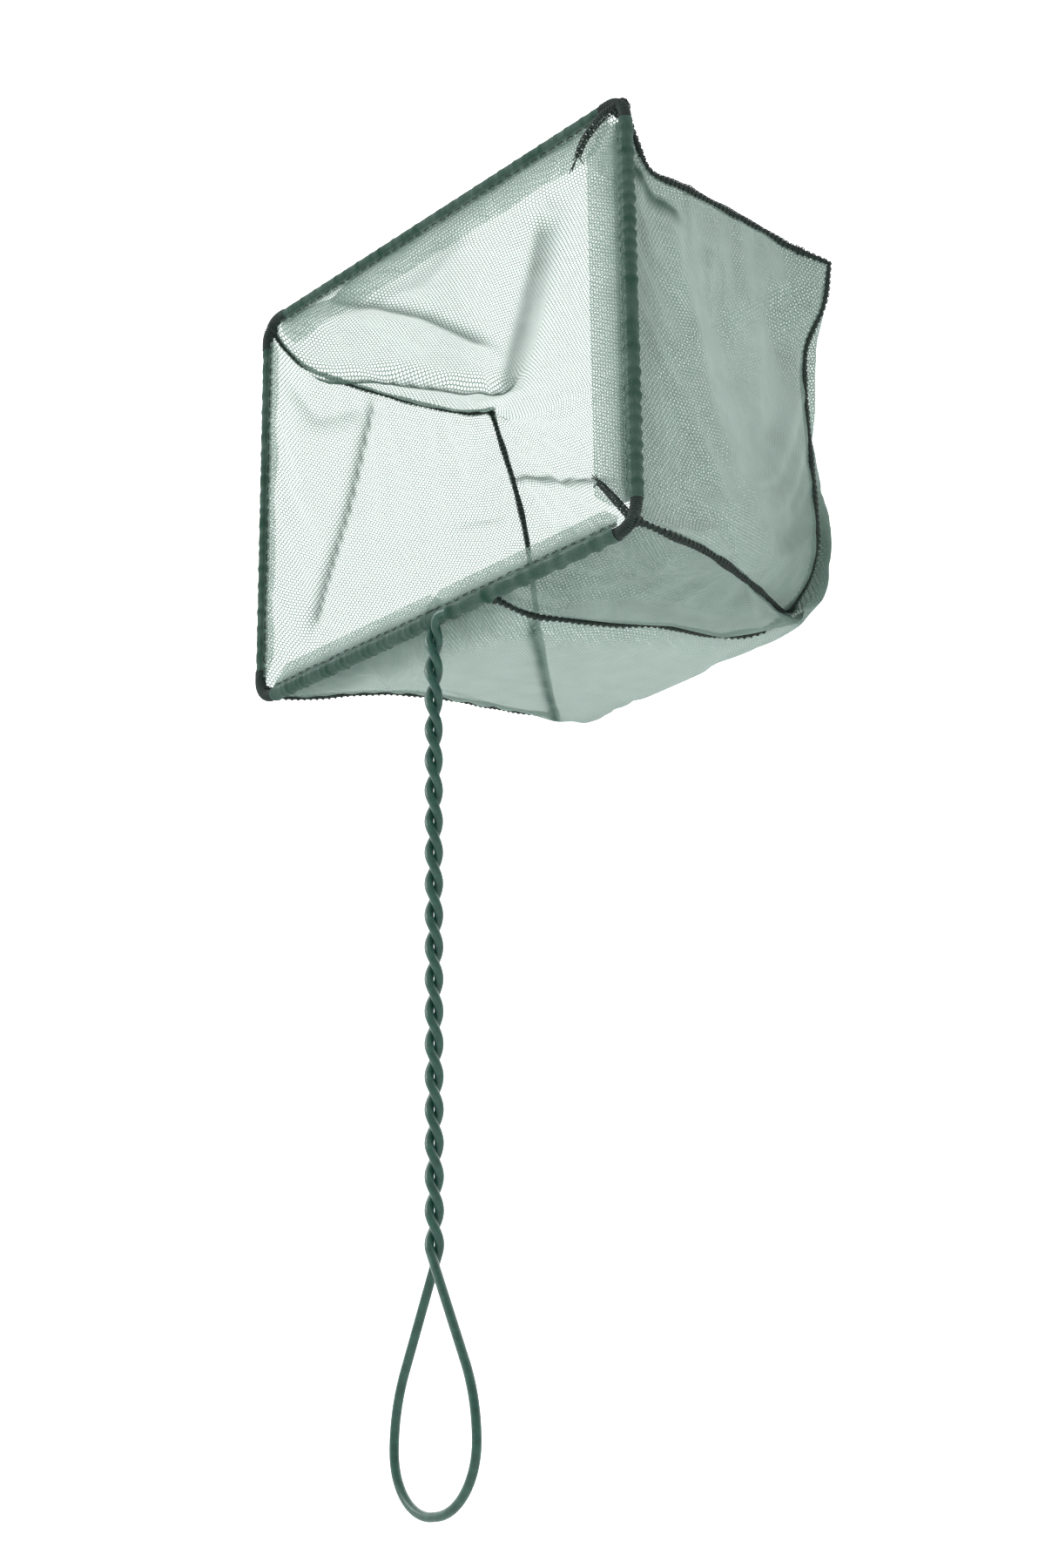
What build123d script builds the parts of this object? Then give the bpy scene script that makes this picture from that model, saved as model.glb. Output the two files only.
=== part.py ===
"""Hand net: a coated-wire hoop with a twisted handle and a box-shaped netting bag.

Frame: origin at the middle of the grip, +Z up the handle to the hoop, +X across the hoop,
+Y into the bag.  All sizes are in millimetres.
"""

import os
from math import atan2, cos, degrees, pi, radians, sin, tan

from build123d import *

# ---------------------------------------------------------------- driving dimensions

# wire
CORE_DIAMETER = 1.5          # galvanised steel wire
COAT_WALL = 0.4              # green vinyl coating
CORE_CLEARANCE = 0.02        # radial, core to coating and core to ferrule
FERRULE_LENGTH = 12.0        # crimped sleeve over the two bare wire ends
FERRULE_WALL = 0.38
WIRE_END_GAP = 0.2           # between the two butted wire ends
COAT_END_GAP = 0.3           # between a stripped coating end and the ferrule

# hoop, measured on the wire's centre line
HOOP_WIDTH = 151.0
HOOP_HEIGHT = 116.0
HOOP_CORNER_RADIUS = 6.0

# handle
TWIST_LENGTH = 160.0         # bottom bar down to the crossing above the hanging loop
TWIST_TURNS = 9.75           # whole turns plus three quarters bring the legs into the hoop's plane
STRAND_GAP = 0.08            # between the two twisted strands
NECK_BEND_RADIUS = 3.2       # bend from the bottom bar into the twist
NECK_JOG_X = 10.0            # where each bottom bar leaves the hoop's plane
NECK_JOG_RADIUS = 6.0
LOOP_LENGTH = 60.0           # crossing down to the bottom of the hanging loop
LOOP_WIDTH = 33.0
LOOP_LEG_RADIUS = 50.0       # slow bend of each leg

# bag
CLOTH = 0.4                  # netting thickness
BAG_DEPTH = 79.0             # hoop plane to the outside of the back wall
BACK_TOP_WIDTH = 142.0       # the back wall narrows towards its foot
BACK_FOOT_WIDTH = 92.0
BACK_TOP_DROP = 11.0         # back top fold, below the top bar
BACK_FOOT_RISE = 5.0         # back foot fold, above the bottom bar
PANEL_INSET = 3.0            # hoop plane to the front edge of the netting

# hems: tape folded round the wire, with the netting's edge between its two plies
HEM_PLY = 0.35
HEM_DEPTH = 8.0
HEM_WIRE_CLEARANCE = 0.15
HEM_CLOTH_CLEARANCE = 0.05
HEM_END_GAP = 0.5            # hem end to the start of a corner bend

# thread
STITCH_LENGTH = 2.2
STITCH_PITCH = 3.4
STITCH_THICKNESS = 0.25
STITCH_ROW = 5.5             # hoop plane to the stitch row
SEAM_DIAMETER = 1.6          # overlocked roll that joins side and body panels
SEAM_CLEARANCE = 0.3         # cloth edge to the roll that grips it
SEAM_BEND_RADIUS = 0.9
TUCK_DIAMETER = 1.0          # stitched tuck under the bottom of the bag
TUCK_FRONT_X = 27.0
TUCK_FRONT_Y = 13.0
TUCK_BACK_MARGIN = 6.0       # tuck end to the back foot corner, both ways
TACK_WALL = 0.35             # thread wrapped round each corner of the hoop
TACK_ANGLE = 40.0

# ---------------------------------------------------------------- worked out from them

WIRE_RADIUS = CORE_DIAMETER / 2 + CORE_CLEARANCE + COAT_WALL
STRAND_RADIUS = WIRE_RADIUS + STRAND_GAP / 2
BAR_Z = TWIST_LENGTH / 2
TOP_Z = BAR_Z + HOOP_HEIGHT
CROSSING_Z = BAR_Z - TWIST_LENGTH
LOOP_BOTTOM_Z = CROSSING_Z - LOOP_LENGTH
SIDE_X = HOOP_WIDTH / 2

NECK_DROP = 1.15 * NECK_BEND_RADIUS
TWIST_PITCH = (TWIST_LENGTH - NECK_DROP) / TWIST_TURNS
LAY_ANGLE = atan2(2 * pi * STRAND_RADIUS, TWIST_PITCH)
TWIST_TOP_Z = BAR_Z - NECK_DROP * cos(LAY_ANGLE)
HELIX_HEIGHT = TWIST_TOP_Z - CROSSING_Z
HELIX_PITCH = HELIX_HEIGHT / TWIST_TURNS

COLLAR_END_Y = HEM_DEPTH + 1.0
BACK_Y = BAG_DEPTH - CLOTH / 2
BACK_TOP_Z = TOP_Z - BACK_TOP_DROP
BACK_FOOT_Z = BAR_Z + BACK_FOOT_RISE
SEAM_REACH = SEAM_DIAMETER / 2 + SEAM_CLEARANCE

os.makedirs("parts", exist_ok=True)


# ---------------------------------------------------------------- wire

def hoop_half(side, end_gap):
    """Half of the hoop, from its end in the top bar down to the start of the twist."""
    slope_y = -side * sin(LAY_ANGLE)
    twist_start = Vector(side * STRAND_RADIUS, 0, TWIST_TOP_Z)
    neck = twist_start + Vector(0, slope_y, cos(LAY_ANGLE)) * NECK_DROP
    return FilletPolyline(
        (side * end_gap / 2, 0, TOP_Z),
        (side * SIDE_X, 0, TOP_Z),
        (side * SIDE_X, 0, BAR_Z),
        (side * NECK_JOG_X, 0, BAR_Z),
        neck,
        twist_start,
        radius=[HOOP_CORNER_RADIUS, HOOP_CORNER_RADIUS, NECK_JOG_RADIUS, NECK_BEND_RADIUS],
    )


def twist_strand(side):
    """One strand of the twisted handle, a left-hand helix."""
    foot_angle = (0 if side > 0 else 180) + 360 * TWIST_TURNS
    strand = Edge.make_helix(
        HELIX_PITCH, HELIX_HEIGHT, STRAND_RADIUS, center=(0, 0, CROSSING_Z), lefthand=True
    )
    return strand.rotate(Axis.Z, foot_angle)


def hanging_loop():
    """The teardrop: each leg leaves the crossing along its own strand."""
    half = LOOP_WIDTH / 2
    shoulder_z = CROSSING_Z - half / tan(LAY_ANGLE)
    bottom_radius = 0.95 * half
    leg_room = shoulder_z - LOOP_BOTTOM_Z - bottom_radius
    leg_radius = min(LOOP_LEG_RADIUS, 0.98 * leg_room / tan(LAY_ANGLE / 2))
    return FilletPolyline(
        (0, -STRAND_RADIUS, CROSSING_Z),
        (half, -STRAND_RADIUS, shoulder_z),
        (half, -STRAND_RADIUS, LOOP_BOTTOM_Z),
        (-half, STRAND_RADIUS, LOOP_BOTTOM_Z),
        (-half, STRAND_RADIUS, shoulder_z),
        (0, STRAND_RADIUS, CROSSING_Z),
        radius=[leg_radius, bottom_radius, bottom_radius, leg_radius],
    )


def wire_route(end_gap):
    """The whole wire, from one end in the top bar round to the other."""
    edges = hoop_half(1, end_gap).edges() + [twist_strand(1)]
    edges += hanging_loop().edges() + [twist_strand(-1)]
    edges += hoop_half(-1, end_gap).edges()
    return Wire(edges)


core_route = wire_route(WIRE_END_GAP)
coat_route = wire_route(FERRULE_LENGTH + 2 * COAT_END_GAP)

with BuildPart() as steel_core:
    with BuildSketch(Plane(origin=core_route @ 0, z_dir=core_route % 0)):
        Circle(CORE_DIAMETER / 2)
    sweep(path=core_route)

with BuildPart() as pvc_coating:
    with BuildSketch(Plane(origin=coat_route @ 0, z_dir=coat_route % 0)):
        Circle(WIRE_RADIUS)
        Circle(CORE_DIAMETER / 2 + CORE_CLEARANCE, mode=Mode.SUBTRACT)
    sweep(path=coat_route)

with BuildPart() as splice_ferrule:
    with BuildSketch(Plane.YZ.offset(-FERRULE_LENGTH / 2)):
        with Locations((0, TOP_Z)):
            Circle(CORE_DIAMETER / 2 + CORE_CLEARANCE + FERRULE_WALL)
            Circle(CORE_DIAMETER / 2 + CORE_CLEARANCE, mode=Mode.SUBTRACT)
    extrude(amount=FERRULE_LENGTH)

# ---------------------------------------------------------------- netting bag


def strip_edge(y, z, width):
    """Cross-section of the body panel's cloth at one depth: a thin level rectangle."""
    with BuildSketch(Plane.XZ.offset(-y)) as edge:
        with Locations((0, z)):
            Rectangle(width - 2 * SEAM_REACH, CLOTH)
    return edge.sketch


top_edges = [
    strip_edge(PANEL_INSET, TOP_Z, HOOP_WIDTH),
    strip_edge(COLLAR_END_Y, TOP_Z, HOOP_WIDTH),
    strip_edge(BAG_DEPTH, BACK_TOP_Z, BACK_TOP_WIDTH),
]
bottom_edges = [
    strip_edge(PANEL_INSET, BAR_Z, HOOP_WIDTH),
    strip_edge(COLLAR_END_Y, BAR_Z, HOOP_WIDTH),
    strip_edge(BAG_DEPTH, BACK_FOOT_Z, BACK_FOOT_WIDTH),
]

with BuildPart() as body_panel:
    loft(top_edges, ruled=True)
    loft(bottom_edges, ruled=True)
    with BuildSketch(Plane.XZ.offset(-BAG_DEPTH)):
        with BuildLine():
            Polyline(
                (BACK_TOP_WIDTH / 2 - SEAM_REACH, BACK_TOP_Z),
                (BACK_FOOT_WIDTH / 2 - SEAM_REACH, BACK_FOOT_Z),
                (-BACK_FOOT_WIDTH / 2 + SEAM_REACH, BACK_FOOT_Z),
                (-BACK_TOP_WIDTH / 2 + SEAM_REACH, BACK_TOP_Z),
                close=True,
            )
        make_face()
    extrude(amount=CLOTH)


def side_edge(y, top, foot):
    """Cross-section of a side panel's cloth at one depth, between its two seams."""
    top = Vector(*top)
    foot = Vector(*foot)
    along = (top - foot).normalized() * SEAM_REACH
    across = Vector(along.Y, -along.X).normalized() * CLOTH / 2
    with BuildSketch(Plane.XZ.offset(-y)) as edge:
        with BuildLine():
            Polyline(
                top - along + across,
                top - along - across,
                foot + along - across,
                foot + along + across,
                close=True,
            )
        make_face()
    return edge.sketch


def side_panel(side):
    """One side wall: upright at the hoop, leaning in with the back wall's slanted edge."""
    front = ((side * SIDE_X, TOP_Z), (side * SIDE_X, BAR_Z))
    back = (
        (side * BACK_TOP_WIDTH / 2, BACK_TOP_Z),
        (side * BACK_FOOT_WIDTH / 2, BACK_FOOT_Z),
    )
    edges = [
        side_edge(PANEL_INSET, *front),
        side_edge(COLLAR_END_Y, *front),
        side_edge(BACK_Y - SEAM_REACH, *back),
    ]
    with BuildPart() as panel:
        loft(edges, ruled=True)
    return panel


left_panel = side_panel(-1)
right_panel = side_panel(1)


def seam_roll(side):
    """Overlocked seam: along the top, down the back and forward again under the bag."""
    with BuildPart() as seam:
        with BuildLine() as route:
            FilletPolyline(
                (side * SIDE_X, PANEL_INSET, TOP_Z),
                (side * SIDE_X, COLLAR_END_Y, TOP_Z),
                (side * BACK_TOP_WIDTH / 2, BACK_Y, BACK_TOP_Z),
                (side * BACK_FOOT_WIDTH / 2, BACK_Y, BACK_FOOT_Z),
                (side * SIDE_X, COLLAR_END_Y, BAR_Z),
                (side * SIDE_X, PANEL_INSET, BAR_Z),
                radius=SEAM_BEND_RADIUS,
            )
        with BuildSketch(Plane(origin=route.line @ 0, z_dir=route.line % 0)):
            Circle(SEAM_DIAMETER / 2)
        sweep()
    return seam


left_seam = seam_roll(-1)
right_seam = seam_roll(1)

with BuildPart() as bottom_tuck:
    tuck_drop = CLOTH / 2 + TUCK_DIAMETER / 2 + SEAM_CLEARANCE
    bottom_slope = BACK_FOOT_RISE / (BAG_DEPTH - COLLAR_END_Y)
    tuck_back_y = BAG_DEPTH - TUCK_BACK_MARGIN
    with BuildLine() as tuck_route:
        Line(
            (TUCK_FRONT_X, TUCK_FRONT_Y,
             BAR_Z + (TUCK_FRONT_Y - COLLAR_END_Y) * bottom_slope - tuck_drop),
            (BACK_FOOT_WIDTH / 2 - TUCK_BACK_MARGIN, tuck_back_y,
             BAR_Z + (tuck_back_y - COLLAR_END_Y) * bottom_slope - tuck_drop),
        )
    with BuildSketch(Plane(origin=tuck_route.line @ 0, z_dir=tuck_route.line % 0)):
        Circle(TUCK_DIAMETER / 2)
    sweep()

# ---------------------------------------------------------------- hems and thread


def hem_profile():
    """Tape folded round the wire; local X runs into the bag."""
    slot = CLOTH + 2 * HEM_CLOTH_CLEARANCE
    casing = WIRE_RADIUS + HEM_WIRE_CLEARANCE
    Circle(casing + HEM_PLY)
    Rectangle(HEM_DEPTH, slot + 2 * HEM_PLY, align=(Align.MIN, Align.CENTER))
    Circle(casing, mode=Mode.SUBTRACT)
    Rectangle(HEM_DEPTH, slot, align=(Align.MIN, Align.CENTER), mode=Mode.SUBTRACT)


def hem(start, end):
    """A hem along one straight stretch of the hoop."""
    run = Vector(*end) - Vector(*start)
    with BuildPart() as tape:
        with BuildSketch(Plane(origin=start, x_dir=(0, 1, 0), z_dir=run)):
            hem_profile()
        extrude(amount=run.length)
    return tape


def hem_stitches(start, end):
    """Lockstitch along a hem: one row on each face of the folded tape."""
    run = Vector(*end) - Vector(*start)
    count = int((run.length - STITCH_LENGTH) / STITCH_PITCH)
    face = CLOTH / 2 + HEM_CLOTH_CLEARANCE + HEM_PLY
    height = face + STITCH_THICKNESS / 2
    middle = (Vector(*start) + Vector(*end)) * 0.5
    along = Plane(origin=middle, x_dir=run, z_dir=(0, 1, 0))
    with BuildPart() as thread:
        with BuildSketch(along.offset(STITCH_ROW - STITCH_THICKNESS / 2)):
            for face_side in (1, -1):
                with Locations((0, face_side * height)):
                    with GridLocations(STITCH_PITCH, 1, count, 1):
                        Rectangle(STITCH_LENGTH, STITCH_THICKNESS)
        extrude(amount=STITCH_THICKNESS)
    return thread


corner_margin = HOOP_CORNER_RADIUS + HEM_END_GAP
hem_runs = {
    "top_hem": ((-SIDE_X + corner_margin, 0, TOP_Z), (SIDE_X - corner_margin, 0, TOP_Z)),
    "left_hem": ((-SIDE_X, 0, BAR_Z + corner_margin), (-SIDE_X, 0, TOP_Z - corner_margin)),
    "right_hem": ((SIDE_X, 0, BAR_Z + corner_margin), (SIDE_X, 0, TOP_Z - corner_margin)),
    "bottom_hem_left": ((-SIDE_X + corner_margin, 0, BAR_Z), (-NECK_JOG_X - HEM_END_GAP, 0, BAR_Z)),
    "bottom_hem_right": ((NECK_JOG_X + HEM_END_GAP, 0, BAR_Z), (SIDE_X - corner_margin, 0, BAR_Z)),
}


def corner_tack(side_x, side_z):
    """Thread wrapped round the wire in the middle of one corner bend of the hoop."""
    middle_z = (TOP_Z + BAR_Z) / 2
    centre_x = side_x * (SIDE_X - HOOP_CORNER_RADIUS)
    centre_z = middle_z + side_z * (HOOP_HEIGHT / 2 - HOOP_CORNER_RADIUS)
    middle_angle = degrees(atan2(side_z, side_x))
    start_angle = radians(middle_angle - TACK_ANGLE / 2)
    radial = Vector(cos(start_angle), 0, sin(start_angle))
    centre = Vector(centre_x, 0, centre_z)
    with BuildPart() as tack:
        with BuildSketch(Plane(origin=centre + radial * HOOP_CORNER_RADIUS, x_dir=radial,
                               z_dir=Vector(-radial.Z, 0, radial.X))):
            Circle(WIRE_RADIUS + HEM_WIRE_CLEARANCE + TACK_WALL)
            Circle(WIRE_RADIUS + HEM_CLOTH_CLEARANCE, mode=Mode.SUBTRACT)
        revolve(axis=Axis(centre, (0, -1, 0)), revolution_arc=TACK_ANGLE)
    return tack


# ---------------------------------------------------------------- write every piece

pieces = {
    "steel_core": steel_core,
    "pvc_coating": pvc_coating,
    "splice_ferrule": splice_ferrule,
    "body_panel": body_panel,
    "left_panel": left_panel,
    "right_panel": right_panel,
    "left_seam": left_seam,
    "right_seam": right_seam,
    "bottom_tuck": bottom_tuck,
    "corner_tack_top_left": corner_tack(-1, 1),
    "corner_tack_top_right": corner_tack(1, 1),
    "corner_tack_bottom_left": corner_tack(-1, -1),
    "corner_tack_bottom_right": corner_tack(1, -1),
}
for hem_name, (hem_start, hem_end) in hem_runs.items():
    pieces[hem_name] = hem(hem_start, hem_end)
    pieces[hem_name + "_stitches"] = hem_stitches(hem_start, hem_end)

for piece_name, piece in pieces.items():
    piece.part.label = piece_name
    export_step(piece.part, f"parts/{piece_name}.step")

for route_name, route, section in (
    ("steel_core", core_route, pi * (CORE_DIAMETER / 2) ** 2),
    ("pvc_coating", coat_route, pi * (WIRE_RADIUS**2 - (CORE_DIAMETER / 2 + CORE_CLEARANCE) ** 2)),
):
    expected = section * route.length
    print(f"{route_name}: volume {pieces[route_name].part.volume:.1f}, section x length {expected:.1f}")
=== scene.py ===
"""A small hand net: coated-wire hoop, twisted handle, hanging loop and a sewn netting bag.

Metres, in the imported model's frame: the grip's middle is the origin, +Z runs up the handle,
+X across the hoop and +Y into the bag.
"""

from collections import namedtuple
from math import atan2, cos, pi, radians, sin, tan

import bpy
import numpy as np
from mathutils import Matrix, Quaternion, Vector


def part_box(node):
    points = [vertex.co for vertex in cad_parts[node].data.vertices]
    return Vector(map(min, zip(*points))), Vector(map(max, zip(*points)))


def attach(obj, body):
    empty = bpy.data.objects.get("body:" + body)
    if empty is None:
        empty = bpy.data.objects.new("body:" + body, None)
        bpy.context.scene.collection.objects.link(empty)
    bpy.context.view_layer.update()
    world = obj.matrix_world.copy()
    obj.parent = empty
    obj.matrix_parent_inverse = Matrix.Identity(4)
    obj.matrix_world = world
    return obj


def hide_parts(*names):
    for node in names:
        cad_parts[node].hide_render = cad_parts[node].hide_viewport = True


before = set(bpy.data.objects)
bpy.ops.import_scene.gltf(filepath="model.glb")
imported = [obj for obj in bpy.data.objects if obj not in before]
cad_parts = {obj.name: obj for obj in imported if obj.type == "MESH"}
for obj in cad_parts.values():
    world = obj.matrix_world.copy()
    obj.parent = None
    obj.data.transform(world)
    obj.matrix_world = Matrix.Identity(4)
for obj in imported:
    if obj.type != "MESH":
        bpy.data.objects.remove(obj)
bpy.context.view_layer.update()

# ---------------------------------------------------------------- sizes read from the frame

wire_low, wire_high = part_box("pvc_coating")
bottom_hem_low, bottom_hem_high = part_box("bottom_hem_left")
ferrule_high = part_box("splice_ferrule")[1]

MM = 0.001
WIRE_RADIUS = 1.17 * MM
SIDE_X = wire_high.x - WIRE_RADIUS
TOP_Z = wire_high.z - WIRE_RADIUS
BAR_Z = (bottom_hem_low.z + bottom_hem_high.z) / 2
HOOP_HEIGHT = TOP_Z - BAR_Z
CROSSING_Z = -BAR_Z
LOOP_FOOT_Z = wire_low.z + WIRE_RADIUS
BAG_DEPTH = 79 * MM

HOOP_CORNER = 6 * MM
TWIST_TURNS = 9.75
STRAND_RADIUS = WIRE_RADIUS + 0.04 * MM
NECK_BEND = 3.2 * MM
NECK_DROP = 1.15 * NECK_BEND
NECK_JOG_X = 10 * MM
NECK_CORNER = 6 * MM
LOOP_HALF = 16.5 * MM
LOOP_LEG_RADIUS = 50 * MM

# ---------------------------------------------------------------- shader helper


class Node:
    """An output socket in a material's tree, with arithmetic that adds Math nodes."""

    def __init__(self, tree, socket):
        self.tree = tree
        self.socket = socket

    def _math(self, operation, *values):
        node = self.tree.nodes.new("ShaderNodeMath")
        node.operation = operation
        for slot, value in zip(node.inputs, values):
            if isinstance(value, Node):
                self.tree.links.new(value.socket, slot)
            else:
                slot.default_value = value
        return Node(self.tree, node.outputs[0])

    def __add__(self, other): return self._math("ADD", self, other)
    def __sub__(self, other): return self._math("SUBTRACT", self, other)
    def __rsub__(self, other): return self._math("SUBTRACT", other, self)
    def __mul__(self, other): return self._math("MULTIPLY", self, other)
    def __gt__(self, other): return self._math("GREATER_THAN", self, other)
    def __abs__(self): return self._math("ABSOLUTE", self)
    def floor_mod(self, size): return self._math("FLOORED_MODULO", self, size)
    def least(self, other): return self._math("MINIMUM", self, other)
    def most(self, other): return self._math("MAXIMUM", self, other)


class ShaderTree:
    """A node tree. `add` makes any node: its settings first, then its sockets' values."""

    def __init__(self, tree, output_kind):
        self.tree = tree
        self.tree.nodes.clear()
        self.output = self.tree.nodes.new("ShaderNode" + output_kind)

    def add(self, kind, settings=None, output=0, **sockets):
        node = self.tree.nodes.new("ShaderNode" + kind)
        for key, value in (settings or {}).items():
            if key == "stops":
                for element, (place, colour) in zip(node.color_ramp.elements, value):
                    element.position = place
                    element.color = (*colour, 1)
            else:
                setattr(node, key, value)
        for key, value in sockets.items():
            slot = node.inputs[int(key[1:])] if key[0] == "_" else node.inputs[key.replace("_", " ")]
            if isinstance(value, Node):
                self.tree.links.new(value.socket, slot)
            else:
                slot.default_value = value
        return Node(self.tree, node.outputs[output])

    def place(self, kind):
        """Object or UV coordinates, in millimetres."""
        metres = self.add("TexCoord", output=kind)
        return self.add("VectorMath", {"operation": "SCALE"}, _0=metres, Scale=1000.0)

    def finish(self, surface):
        self.tree.links.new(surface.socket, self.output.inputs["Surface"])


class Material(ShaderTree):
    """A node material, which `finish` hands over."""

    def __init__(self, name):
        self.material = bpy.data.materials.new(name)
        self.material.use_nodes = True
        super().__init__(self.material.node_tree, "OutputMaterial")

    def finish(self, surface):
        super().finish(surface)
        return self.material


def threads_of_tulle(shader, pitch, thread):
    """1 on the threads of a six-sided mesh, 0 in its holes; pitch and thread in millimetres."""
    flat = shader.place("UV")
    u, v = [shader.add("SeparateXYZ", output=axis, _0=flat) for axis in "XY"]
    tall = pitch * 3 ** 0.5

    def cell(shift_u, shift_v):
        across = abs((u + shift_u).floor_mod(pitch) - pitch / 2)
        along = abs((v + shift_v).floor_mod(tall) - tall / 2)
        return across.most(across * 0.5 + along * (3 ** 0.5 / 2))

    return cell(0.0, 0.0).least(cell(pitch / 2, tall / 2)) > (pitch - thread) / 2


def netting_material(name, pale, deep, pitch=0.95, thread=0.25, haze=0.42, glow=0.45):
    """Fine netting: threads that let light through, clear holes, and thicker, greener cloth
    where a point attribute says that it is folded or doubled. The same attribute carries
    painted shade too: darker, greener netting where panels and folds are in shade."""
    shader = Material(name)
    mask = threads_of_tulle(shader, pitch, thread)
    # Doubled cloth and painted shade both come in through this attribute: the higher it is, the darker,
    # greener and less see-through the netting.
    doubling = shader.add("Attribute", {"attribute_name": "doubling"}, output="Fac")
    patches = shader.add("TexNoise", Vector=shader.place("UV"), Scale=0.11, Detail=3.0)
    tone = (doubling + (patches - 0.5) * 0.5).most(0.0).least(1.0)
    shade = shader.add("ValToRGB", {"stops": [(0.0, pale), (1.0, deep)]}, Fac=tone)
    face = shader.add(
        "BsdfPrincipled", Base_Color=shade, Roughness=0.8, Sheen_Weight=0.06, Specular_IOR_Level=0.2)
    through = shader.add("BsdfTranslucent", Color=(*pale, 1))
    cloth = shader.add("MixShader", Fac=glow - tone * (0.9 * glow), _1=face, _2=through)
    hole = shader.add("BsdfTransparent", Color=(1, 1, 1, 1))
    solid = mask.most((doubling * (0.98 - haze) + haze).most(0.0))
    return shader.finish(shader.add("MixShader", Fac=solid, _1=hole, _2=cloth))


def thread_material(name, dark, light):
    """Spun thread: two tones along its fibres, and a rough face."""
    shader = Material(name)
    fibres = shader.add("TexNoise", Vector=shader.place("Object"), Scale=2.4, Detail=4.0)
    shade = shader.add("ValToRGB", {"stops": [(0.3, dark), (0.75, light)]}, Fac=fibres)
    bump = shader.add("Bump", Height=fibres, Strength=0.5, Distance=0.0001)
    return shader.finish(shader.add(
        "BsdfPrincipled", Base_Color=shade, Roughness=0.75, Sheen_Weight=0.08, Normal=bump))


def vinyl_material(name, dark, light):
    """Dipped vinyl: glossy, faintly uneven, with dull scuffs."""
    shader = Material(name)
    skin = shader.add("TexNoise", Vector=shader.place("Object"), Scale=0.5, Detail=3.0)
    scuffs = shader.add("TexNoise", Vector=shader.place("Object"), Scale=1.7, Detail=6.0)
    shade = shader.add("ValToRGB", {"stops": [(0.3, dark), (0.7, light)]}, Fac=skin)
    bump = shader.add("Bump", Height=skin, Strength=0.25, Distance=0.0002)
    return shader.finish(shader.add(
        "BsdfPrincipled", Base_Color=shade, Roughness=scuffs * 0.5 + 0.08, IOR=1.5, Normal=bump))


def steel_material(name, dull, bright):
    """Galvanised wire: bright zinc with dull spangles."""
    shader = Material(name)
    spangles = shader.add("TexVoronoi", Vector=shader.place("Object"), Scale=1.5)
    shade = shader.add("ValToRGB", {"stops": [(0.0, dull), (0.8, bright)]}, Fac=spangles)
    return shader.finish(shader.add(
        "BsdfPrincipled", Base_Color=shade, Metallic=1.0, Roughness=spangles * 0.25 + 0.3))


NETTING = netting_material("pale_netting", (0.285, 0.385, 0.34), (0.010, 0.052, 0.034))
DARK_THREAD = thread_material("dark_green_thread", (0.005, 0.014, 0.011), (0.02, 0.04, 0.032))
VINYL = vinyl_material("green_vinyl", (0.012, 0.058, 0.042), (0.024, 0.096, 0.070))
STEEL = steel_material("galvanised_steel", (0.5, 0.51, 0.52), (0.68, 0.69, 0.7))

for node_name in ("steel_core", "splice_ferrule"):
    for material_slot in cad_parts[node_name].material_slots:
        material_slot.material = STEEL

# ---------------------------------------------------------------- lines and meshes


def pick(piece):
    """Select one object and make it the active one."""
    bpy.ops.object.select_all(action="DESELECT")
    piece.select_set(True)
    bpy.context.view_layer.objects.active = piece


def round_piece(name, lines, radius, material, roundness=1, stands_for=None, swell=None):
    """Wire or thread bent along one or more lines, as one mesh. swell scales each point's radius."""
    curve = bpy.data.curves.new(name, "CURVE")
    curve.dimensions = "3D"
    curve.bevel_depth = radius
    curve.bevel_resolution = roundness
    curve.use_fill_caps = True
    for line in lines:
        spline = curve.splines.new("POLY")
        spline.points.add(len(line) - 1)
        places = np.column_stack([np.array(line, float), np.ones(len(line))])
        spline.points.foreach_set("co", places.ravel())
        if swell is not None:
            spline.points.foreach_set("radius", swell)
    piece = bpy.data.objects.new(name, curve)
    bpy.context.scene.collection.objects.link(piece)
    pick(piece)
    bpy.ops.object.convert(target="MESH")
    bpy.ops.object.shade_smooth()
    piece = bpy.context.object
    piece.data.materials.clear()
    piece.data.materials.append(material)
    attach(piece, "root")
    if stands_for:
        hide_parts(stands_for)


def rounded(points, radii, step=0.7 * MM):
    """A line of straight runs whose inner corners are arcs."""
    points = [Vector(p) for p in points]
    line = [points[0]]
    for before, corner, after, radius in zip(points, points[1:], points[2:], radii):
        into = (corner - before).normalized()
        away = (after - corner).normalized()
        turn = into.angle(away)
        start = corner - into * radius * tan(turn / 2)
        axis = into.cross(away).normalized()
        centre = start + axis.cross(into) * radius
        steps = max(3, round(radius * turn / step))
        for i in range(steps + 1):
            line.append(centre + Quaternion(axis, turn * i / steps) @ (start - centre))
    line.append(points[-1])
    return line


def run_lengths(points):
    """How far along a line each of its points is."""
    return np.r_[0, np.cumsum(np.linalg.norm(np.diff(points, axis=0), axis=1))]


def at_runs(values, run, at):
    """A line's points, or its directions, at the given distances along it."""
    return np.column_stack([np.interp(at, run, values[:, axis]) for axis in range(3)])


def smooth_line(points, count):
    """Evenly spaced points on a smooth curve through a few given ones."""
    points = np.asarray([tuple(p) for p in points], float)
    padded = np.vstack([2 * points[0] - points[1], points, 2 * points[-1] - points[-2]])
    dense = []
    for p0, p1, p2, p3 in zip(padded, padded[1:], padded[2:], padded[3:]):
        t = np.linspace(0, 1, 40, endpoint=False)[:, None]
        dense.append(0.5 * (2 * p1 + (p2 - p0) * t + (2 * p0 - 5 * p1 + 4 * p2 - p3) * t ** 2
                            + (3 * p1 - p0 - 3 * p2 + p3) * t ** 3))
    dense = np.vstack(dense + [points[-1:]])
    run = run_lengths(dense)
    return at_runs(dense, run, np.linspace(0, run[-1], count))


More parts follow.
